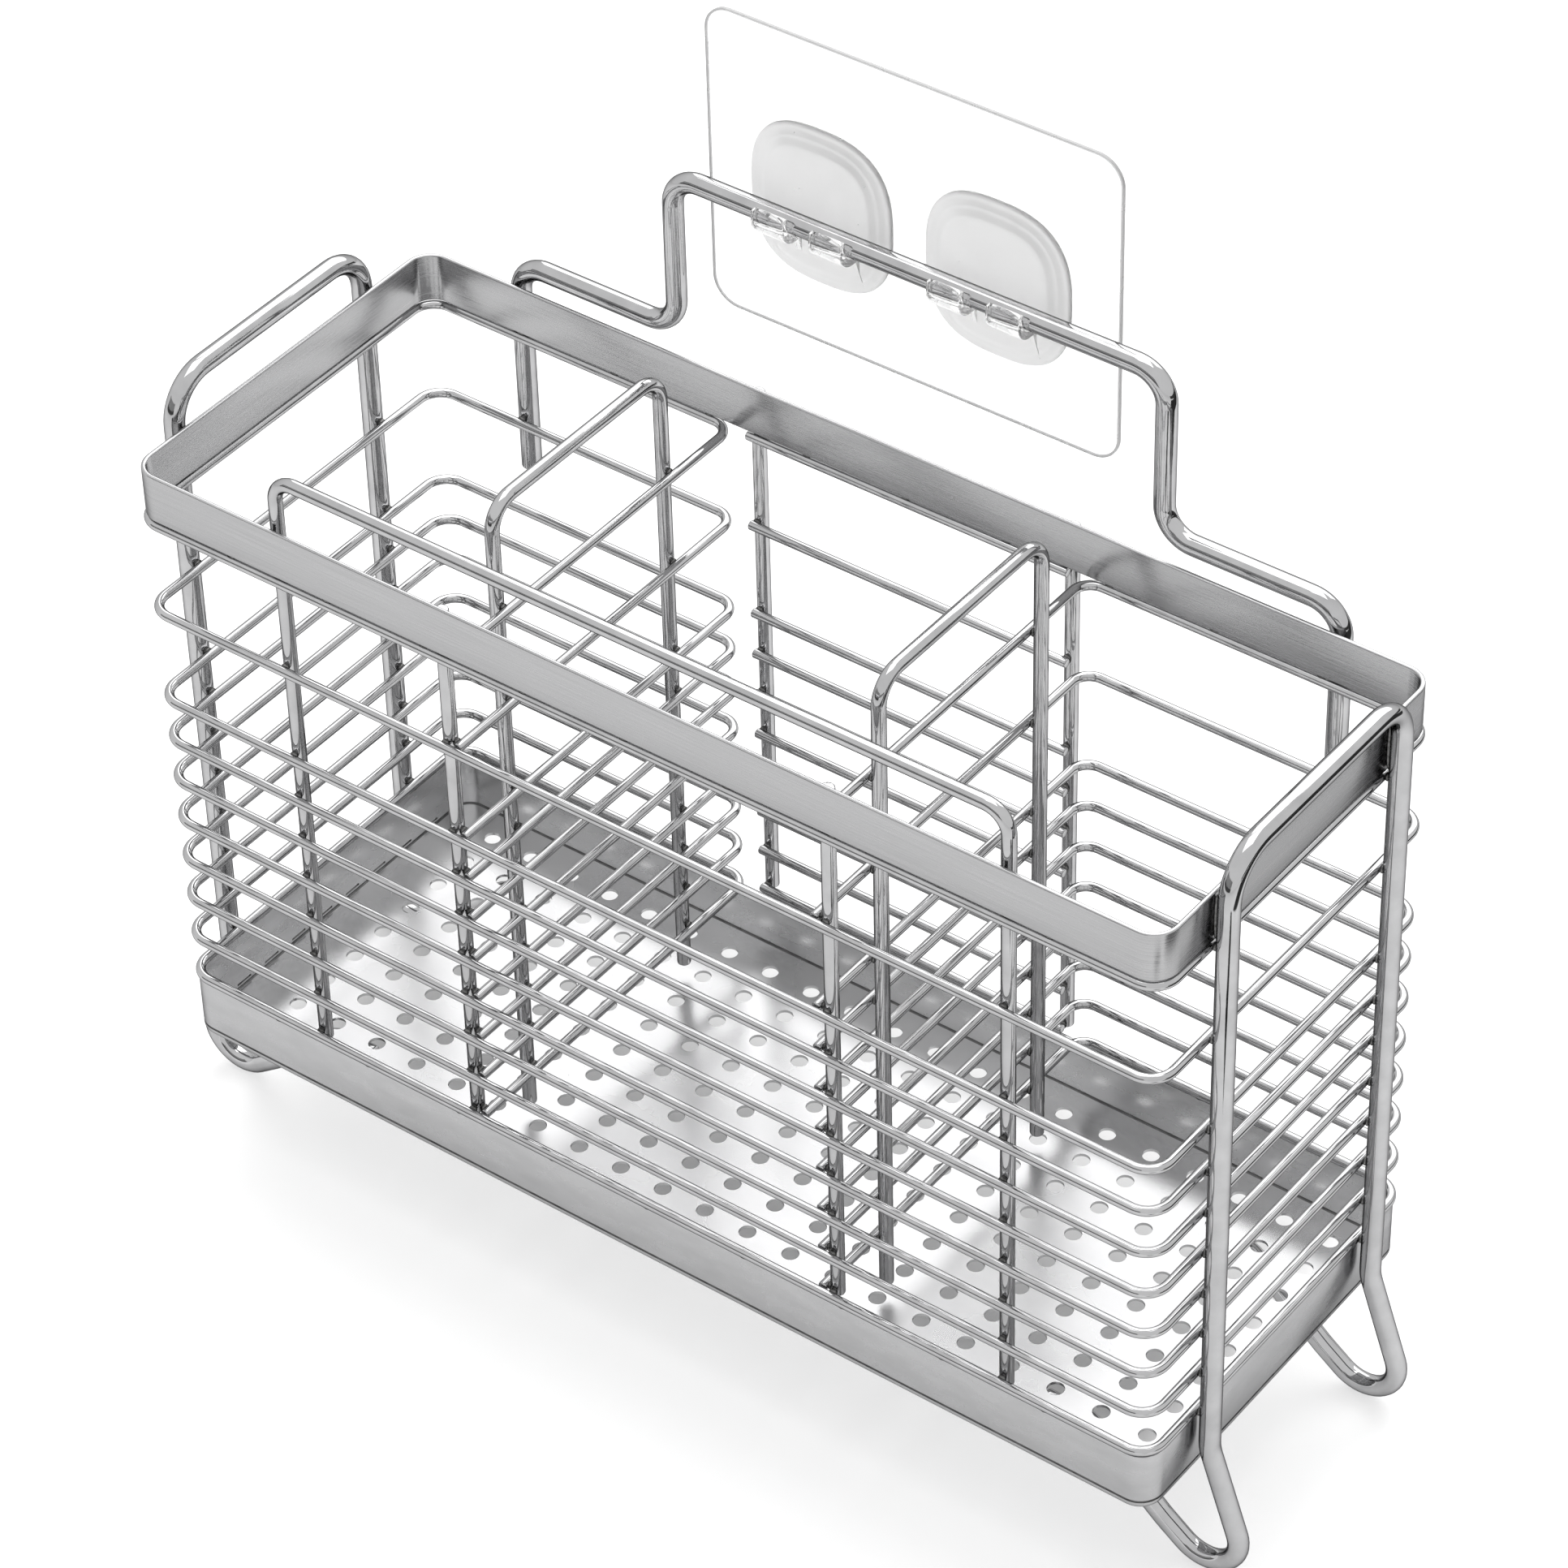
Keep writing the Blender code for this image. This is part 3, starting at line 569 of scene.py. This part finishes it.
for z in level_heights:
    for sign in (-1, 1):
        weld(sign * front_post_x, front_contact, z, "y")
        weld(sign * divider_contact, guard_y, z, "x")
        weld(sign * guard_leg_x, front_contact, z, "y")
        weld(sign * back_post_x, back_contact, z, "y")
        for y in (-divider_leg_y, divider_leg_y):
            weld(sign * divider_contact, y, z, "x")
        for y in (-SIDE_LEG_Y, SIDE_LEG_Y):
            weld(sign * end_contact, y, z, "x", THICK_WIRE_WELD)
for z in level_heights[:2]:
    for sign in (-1, 1):
        weld(sign * HANGER_LEG_X, back_contact, z, "y", THICK_WIRE_WELD)
for sign in (-1, 1):
    weld(sign * HANGER_LEG_X, HALF_DEPTH + band_out, band_middle, "y", THICK_BAND_WELD)
    weld(sign * guard_leg_x, -HALF_DEPTH + band_out, band_middle, "y", BAND_WELD)
    weld(sign * front_post_x, -HALF_DEPTH + band_out, band_middle, "y", BAND_WELD)
    weld(sign * back_post_x, HALF_DEPTH + band_out, band_middle, "y", BAND_WELD)
    for y in (-SIDE_LEG_Y, SIDE_LEG_Y):
        weld(sign * (HALF_LENGTH + band_out), y, band_middle, "x", THICK_BAND_WELD)
        weld(sign * (tail_x - TAIL_WELD_IN), y, TRAY_BOTTOM - GAP / 2, "y", TAIL_WELD)
    for i in range(-EDGE_WELDS, EDGE_WELDS + 1):
        for z in (TRAY_TOP + GAP / 2, BAND_BOTTOM - GAP / 2):
            weld(i * HALF_LENGTH / (EDGE_WELDS + 1), sign * HALF_DEPTH, z, "y", EDGE_WELD)
    for y in (-SIDE_LEG_Y, SIDE_LEG_Y):
        for z in (TRAY_TOP + GAP / 2, BAND_BOTTOM - GAP / 2):
            weld(sign * HALF_LENGTH, y, z, "x", EDGE_WELD)
fit_piece("weld_spots_steel", bm, [weld_steel], [])

# Adhesive sheet: a clear flexible plastic sheet with rounded corners and a sticky back that holds
# on a smooth wall. Its cut edges look grey, and the rest of it hardly shows.
SHEET_CORNER = 0.007
SHEET_CORNER_STEPS = 16
SHEET_EDGE = 0.0006
PLASTIC_DETAIL = 3.0
ACRYLIC = 1.49
sheet_low, sheet_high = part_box("adhesive_sheet")
sheet_middle = (sheet_low + sheet_high) / 2
sheet_size = sheet_high - sheet_low


def clear_plastic(name, grey, roughness, transmission, grain, relief, bending=ACRYLIC):
    """Clear plastic whose finish is a little uneven."""
    material, nodes, links, shader = new_material(name)
    shader.inputs["Base Color"].default_value = (grey, grey, grey, 1)
    shader.inputs["Transmission Weight"].default_value = transmission
    shader.inputs["IOR"].default_value = bending
    noise = add_noise(nodes, links, (grain, grain, grain), PLASTIC_DETAIL)
    add_roughness(nodes, links, shader, noise, {"To Min": roughness[0], "To Max": roughness[1]})
    add_relief(nodes, links, shader, noise, relief)
    return material


sheet_face = clear_plastic("sheet_face", grey=0.985, roughness=(0.0, 0.05), transmission=1.0,
                           grain=60, relief=0.00001)
sheet_edge = clear_plastic("sheet_edge", grey=0.80, roughness=(0.2, 0.4), transmission=0.35,
                           grain=400, relief=0.00002)

bm = bmesh.new()
upright = Matrix.Rotation(math.pi / 2, 4, "X")
flat = Matrix.Translation((sheet_middle.x, sheet_high.y, sheet_middle.z)) @ upright
bmesh.ops.create_grid(bm, x_segments=1, y_segments=1, size=0.5,
                      matrix=flat @ Matrix.Diagonal((sheet_size.x, sheet_size.z, 1, 1)))
round_off(bm, bm.verts[:], SHEET_CORNER, SHEET_CORNER_STEPS, "VERTICES")
front = bmesh.ops.extrude_face_region(bm, geom=bm.faces[:])["geom"]
bmesh.ops.translate(bm, verts=[v for v in front if isinstance(v, bmesh.types.BMVert)],
                    vec=(0, -sheet_size.y, 0))
bm.normal_update()
faces = [f for f in bm.faces if abs(f.normal.y) > 0.5]
for face in faces:
    bmesh.ops.inset_region(bm, faces=[face], thickness=SHEET_EDGE, use_even_offset=True)
for face in bm.faces:
    face.material_index = int(face not in faces)
fit_piece("adhesive_sheet_plastic", bm, [sheet_face, sheet_edge], ["adhesive_sheet"],
          "hook_plate", Matrix.Identity(4))

# Hooks: two moulded clear plastic hooks on the sheet. Each is a softly squared pad with a stepped
# rim and two curled fingers on gussets that carry the bar.
HOOK_SPACING = 0.0482
HOOK_RISE = 0.0028
HOOK_WIDTH = 0.039
HOOK_HEIGHT = 0.0414
HOOK_THICKNESS = 0.0028
HOOK_SQUARENESS = 2.7
HOOK_SIDES = 96
FLANGE_THICKNESS = 0.0012
RIM_SKIRT = 0.0006
RIM_STEPS = ((0.0003, 0.0003), (0.0006, 0.0001), (0.0010, 0.0001), (0.0006, 0.0004),
             (0.0006, 0.0001), (0.0008, 0.0002), (0.0008, 0.0005), (0.0008, 0.0002),
             (0.0010, 0.0001))
FINGER_WIDTH = 0.009
FINGER_SPACING = 0.016
FINGER_THICKNESS = 0.002
FINGER_LIP = 0.0039
FINGER_TIP_ROUND = 0.0005
FINGER_EASED = 0.0003
FINGER_EDGE_ANGLE = math.radians(50)
GUSSET_WIDTH = 0.0012
GUSSET_DEPTH = 0.004
GUSSET_DROP = 0.0095
GUSSET_TAPER = 0.0032
BAR_CLEARANCE = THICK_WIRE / 2 + GAP
GUSSET_OUT = 0.36 * FINGER_WIDTH
GUSSET_TOP = -BAR_CLEARANCE - 0.9 * FINGER_THICKNESS
bar_place = Matrix.Translation((sheet_middle.x, bar_y + middle_y, bar_z + base_z))

frosted_pad = clear_plastic("frosted_pad", grey=0.935, roughness=(0.24, 0.36), transmission=0.77,
                            grain=160, relief=0.00002)
clear_finger = clear_plastic("clear_finger", grey=0.97, roughness=(0.02, 0.07), transmission=1.0,
                             grain=160, relief=0.00001, bending=1.25)

for side, sign in (("left", -1), ("right", 1)):
    hook_x = sign * HOOK_SPACING / 2
    finger_places = [hook_x + finger_sign * FINGER_SPACING / 2 for finger_sign in (-1, 1)]

    bm = bmesh.new()
    bmesh.ops.create_circle(bm, cap_ends=True, segments=HOOK_SIDES, radius=1)
    power = 2 / HOOK_SQUARENESS
    for vert in bm.verts:
        x = math.copysign(abs(vert.co.x) ** power, vert.co.x) * HOOK_WIDTH / 2
        z = math.copysign(abs(vert.co.y) ** power, vert.co.y) * HOOK_HEIGHT / 2
        vert.co = (x + hook_x, BAR_CLEARANCE + HOOK_THICKNESS, z + HOOK_RISE)
    made = bmesh.ops.extrude_face_region(bm, geom=bm.faces[:])["geom"]
    face = next(f for f in made if isinstance(f, bmesh.types.BMFace))
    bmesh.ops.translate(bm, verts=face.verts[:], vec=(0, -RIM_SKIRT, 0))
    for inset, rise in RIM_STEPS:
        bmesh.ops.inset_region(bm, faces=[face], thickness=inset, use_even_offset=True)
        bmesh.ops.translate(bm, verts=face.verts[:], vec=(0, -rise, 0))
    bmesh.ops.recalc_face_normals(bm, faces=bm.faces)
    pad = loose_object(f"hook_pad_{side}", bm)

    bm = bmesh.new()
    finger_section = Matrix.Diagonal((FINGER_WIDTH, FINGER_THICKNESS, 1, 1))
    for x in finger_places:
        root = Matrix.Translation((x, BAR_CLEARANCE + FLANGE_THICKNESS,
                                   -BAR_CLEARANCE - FINGER_THICKNESS / 2))
        made = bmesh.ops.create_grid(bm, x_segments=1, y_segments=1, size=0.5,
                                     matrix=root @ upright @ finger_section)
        loop = list({e for v in made["verts"] for e in v.link_edges})
        loop = run_straight(bm, loop, Vector((0, -BAR_CLEARANCE - FLANGE_THICKNESS, 0)))
        loop = bend_round(bm, loop, Vector((x, 0, 0)), Vector((-1, 0, 0)), math.pi / 2)
        loop = run_straight(bm, loop, Vector((0, 0, FINGER_LIP - FINGER_THICKNESS / 2)))
        tip = bmesh.ops.edgeloop_fill(bm, edges=loop)["faces"][0]
        long_edges = [e for e in tip.edges
                      if abs(e.verts[0].co.x - e.verts[1].co.x) > FINGER_WIDTH / 2]
        round_off(bm, long_edges, FINGER_TIP_ROUND, EASED_STEPS)
    fingers = loose_object(f"hook_fingers_{side}", bm)
    soften = fingers.modifiers.new("Soft edges", "BEVEL")
    soften.width = FINGER_EASED
    soften.segments = 2
    soften.limit_method = "ANGLE"
    soften.angle_limit = FINGER_EDGE_ANGLE

    bm = bmesh.new()
    gusset = (Matrix.Diagonal((GUSSET_WIDTH, GUSSET_DEPTH, GUSSET_DROP, 1))
              @ Matrix.Translation((0, 0, -0.5)))
    for x in finger_places:
        for edge_sign in (-1, 1):
            place = Matrix.Translation((x + edge_sign * GUSSET_OUT,
                                        BAR_CLEARANCE + FLANGE_THICKNESS / 2, GUSSET_TOP))
            made = bmesh.ops.create_cube(bm, size=1, matrix=place @ gusset)
            low_front = [v for v in made["verts"] if v.co.z < -BAR_CLEARANCE - GUSSET_DROP / 2
                         and v.co.y < BAR_CLEARANCE]
            bmesh.ops.translate(bm, verts=low_front, vec=(0, GUSSET_TAPER, 0))
    gussets = loose_object(f"hook_gussets_{side}", bm)

    boolean(pad, "Fingers", fingers, "UNION")
    boolean(pad, "Gussets", gussets, "UNION")
    bm = made_solid(pad, (fingers, gussets))
    for face in bm.faces:
        face.material_index = int(face.calc_center_median().y < BAR_CLEARANCE - GAP)
    fit_piece(f"hook_{side}_plastic", bm, [frosted_pad, clear_finger],
              [f"hook_{side}"], "hook_plate", bar_place)

# Studio floor: a large pale sheet on which the rack stands. Its own light shows only to the camera
# and in mirrors and fades out under the rack, so the floor looks white and still keeps the soft
# shadow. Each fading edge has its axis, where it starts and where the floor is fully lit.
FLOOR_HALF = 6.0
FLOOR_DROP = 0.0002
FADING_EDGES = ((0, -0.140, -0.174), (0, 0.103, 0.124), (1, -0.010, -0.034), (1, 0.052, 0.100))
OWN_LIGHT = 0.5
MIRRORED_LIGHT = 0.38
PAPER_GREY = 0.9
PAPER_ROUGHNESS = 0.9
bm = bmesh.new()
bmesh.ops.create_grid(bm, x_segments=1, y_segments=1, size=FLOOR_HALF,
                      matrix=Matrix.Translation((0, 0, -FLOOR_DROP)))
paper, nodes, links, shader = new_material("white_paper")
floor = loose_object("studio_floor", bm, [paper])
floor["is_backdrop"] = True


def combine(nodes, links, operation, *sources):
    """One value made from two others, each an output or a number."""
    node = nodes.new("ShaderNodeMath")
    node.operation = operation
    for socket, source in zip(node.inputs, sources):
        if isinstance(source, bpy.types.NodeSocket):
            links.new(source, socket)
        else:
            socket.default_value = source
    return node.outputs[0]


def ray_kinds(nodes, links):
    """Whether a ray comes from the camera, and whether it comes from a mirror or clear plastic."""
    rays = nodes.new("ShaderNodeLightPath").outputs
    mirrored = combine(nodes, links, "MAXIMUM", rays["Is Glossy Ray"], rays["Is Transmission Ray"])
    return rays["Is Camera Ray"], mirrored


spot = nodes.new("ShaderNodeTexCoord")
apart = nodes.new("ShaderNodeSeparateXYZ")
links.new(spot.outputs["Object"], apart.inputs["Vector"])
outside = 0.0
for axis, start, end in FADING_EDGES:
    fade = add_node(nodes, "ShaderNodeMapRange", {"From Min": start, "From Max": end})
    fade.interpolation_type = "SMOOTHSTEP"
    links.new(apart.outputs[axis], fade.inputs["Value"])
    outside = combine(nodes, links, "MAXIMUM", outside, fade.outputs["Result"])
seen, mirrored = ray_kinds(nodes, links)
seen = combine(nodes, links, "MULTIPLY", seen, outside)
seen = combine(nodes, links, "MULTIPLY", seen, OWN_LIGHT)
mirrored = combine(nodes, links, "MULTIPLY", mirrored, MIRRORED_LIGHT)
glow = combine(nodes, links, "MAXIMUM", seen, mirrored)
shader.inputs["Base Color"].default_value = (PAPER_GREY, PAPER_GREY, PAPER_GREY, 1)
shader.inputs["Roughness"].default_value = PAPER_ROUGHNESS
shader.inputs["Emission Color"].default_value = (1, 1, 1, 1)
links.new(glow, shader.inputs["Emission Strength"])

# Studio light: an even white room, one large soft lamp overhead and one behind on the left. Dark
# cards that only mirrors can see give the polished wire its dark lines.
ROOM_LIGHT = 0.5
ROOM_WHITE = 1.0
world = bpy.data.worlds.new("white_room")
bpy.context.scene.world = world
world.use_nodes = True
nodes, links = world.node_tree.nodes, world.node_tree.links
seen = combine(nodes, links, "MAXIMUM", *ray_kinds(nodes, links))
level = add_node(nodes, "ShaderNodeMapRange", {"To Min": ROOM_LIGHT, "To Max": ROOM_WHITE})
links.new(seen, level.inputs["Value"])
links.new(level.outputs["Result"], nodes["Background"].inputs["Strength"])
nodes["Background"].inputs["Color"].default_value = (1, 1, 1, 1)


def soft_lamp(name, place, target, width, height, brightness):
    """A rectangular soft lamp of a given brightness, where 1 is as bright as white paper."""
    light = bpy.data.lights.new(name, "AREA")
    light.shape = "RECTANGLE"
    light.size = width
    light.size_y = height
    light.energy = brightness * math.pi * width * height
    lamp = bpy.data.objects.new(name, light)
    bpy.context.scene.collection.objects.link(lamp)
    lamp.location = place
    lamp.rotation_euler = (Vector(target) - Vector(place)).to_track_quat("-Z", "Y").to_euler()


soft_lamp("overhead_lamp", (-0.2, 0.3, 1.9), (0, 0, 0.1), width=1.4, height=1.4, brightness=2.0)
soft_lamp("back_lamp", (-0.4, 1.45, 1.3), (0, 0, 0.1), width=2.1, height=1.2, brightness=2.0)


def dark_card(name, place, target, width, height, tone):
    """A matt card that only glossy rays can see."""
    bm = bmesh.new()
    aim = (Vector(target) - Vector(place)).to_track_quat("Z", "Y").to_matrix().to_4x4()
    bmesh.ops.create_grid(bm, x_segments=1, y_segments=1, size=0.5,
                          matrix=Matrix.Translation(place) @ aim
                          @ Matrix.Diagonal((width, height, 1, 1)))
    felt, _, _, shader = new_material(name)
    shader.inputs["Base Color"].default_value = (tone, tone, tone, 1)
    shader.inputs["Roughness"].default_value = 1.0
    shader.inputs["Specular IOR Level"].default_value = 0.0
    card = loose_object(name, bm, [felt])
    card.visible_camera = False
    card.visible_diffuse = False
    card.visible_transmission = False
    card.visible_shadow = False
    card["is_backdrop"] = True


dark_card("front_low_card", (-0.5, -1.5, 0.25), (0.0, 0.0, 0.25), width=2.4, height=0.22, tone=0.10)
dark_card("front_high_card", (-0.5, -1.5, 0.58), (0.0, 0.0, 0.2), width=2.4, height=0.44, tone=0.45)
dark_card("right_low_card", (1.15, 0.75, 0.09), (0, 0, 0.09), width=2.6, height=0.18, tone=0.08)
dark_card("right_ground_card", (0.80, 0.50, 0.004), (0.80, 0.50, 1.0), width=0.82, height=1.3,
          tone=0.05)
dark_card("corner_ground_card", (0.30, -0.19, 0.004), (0.30, -0.19, 1.0), width=0.10, height=0.05,
          tone=0.04)

# Camera: a long lens from the front right, 40 degrees above the floor and very slightly rolled, as
# in the photograph.
camera_data = bpy.data.cameras.new("camera")
camera_data.lens = 135.29
camera_data.sensor_width = 36
camera_data.sensor_fit = "HORIZONTAL"
camera_data.clip_start = 0.05
camera_data.clip_end = 50
camera = bpy.data.objects.new("camera", camera_data)
bpy.context.scene.collection.objects.link(camera)
camera.matrix_world = Matrix(((0.802768, -0.370997, 0.466825, 0.627941),
                              (0.595911, 0.527123, -0.605832, -0.815467),
                              (-0.021312, 0.764529, 0.644238, 1.002887),
                              (0, 0, 0, 1)))
bpy.context.scene.camera = camera
bpy.context.scene.view_settings.view_transform = "Standard"

bpy.context.view_layer.update()
low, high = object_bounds()
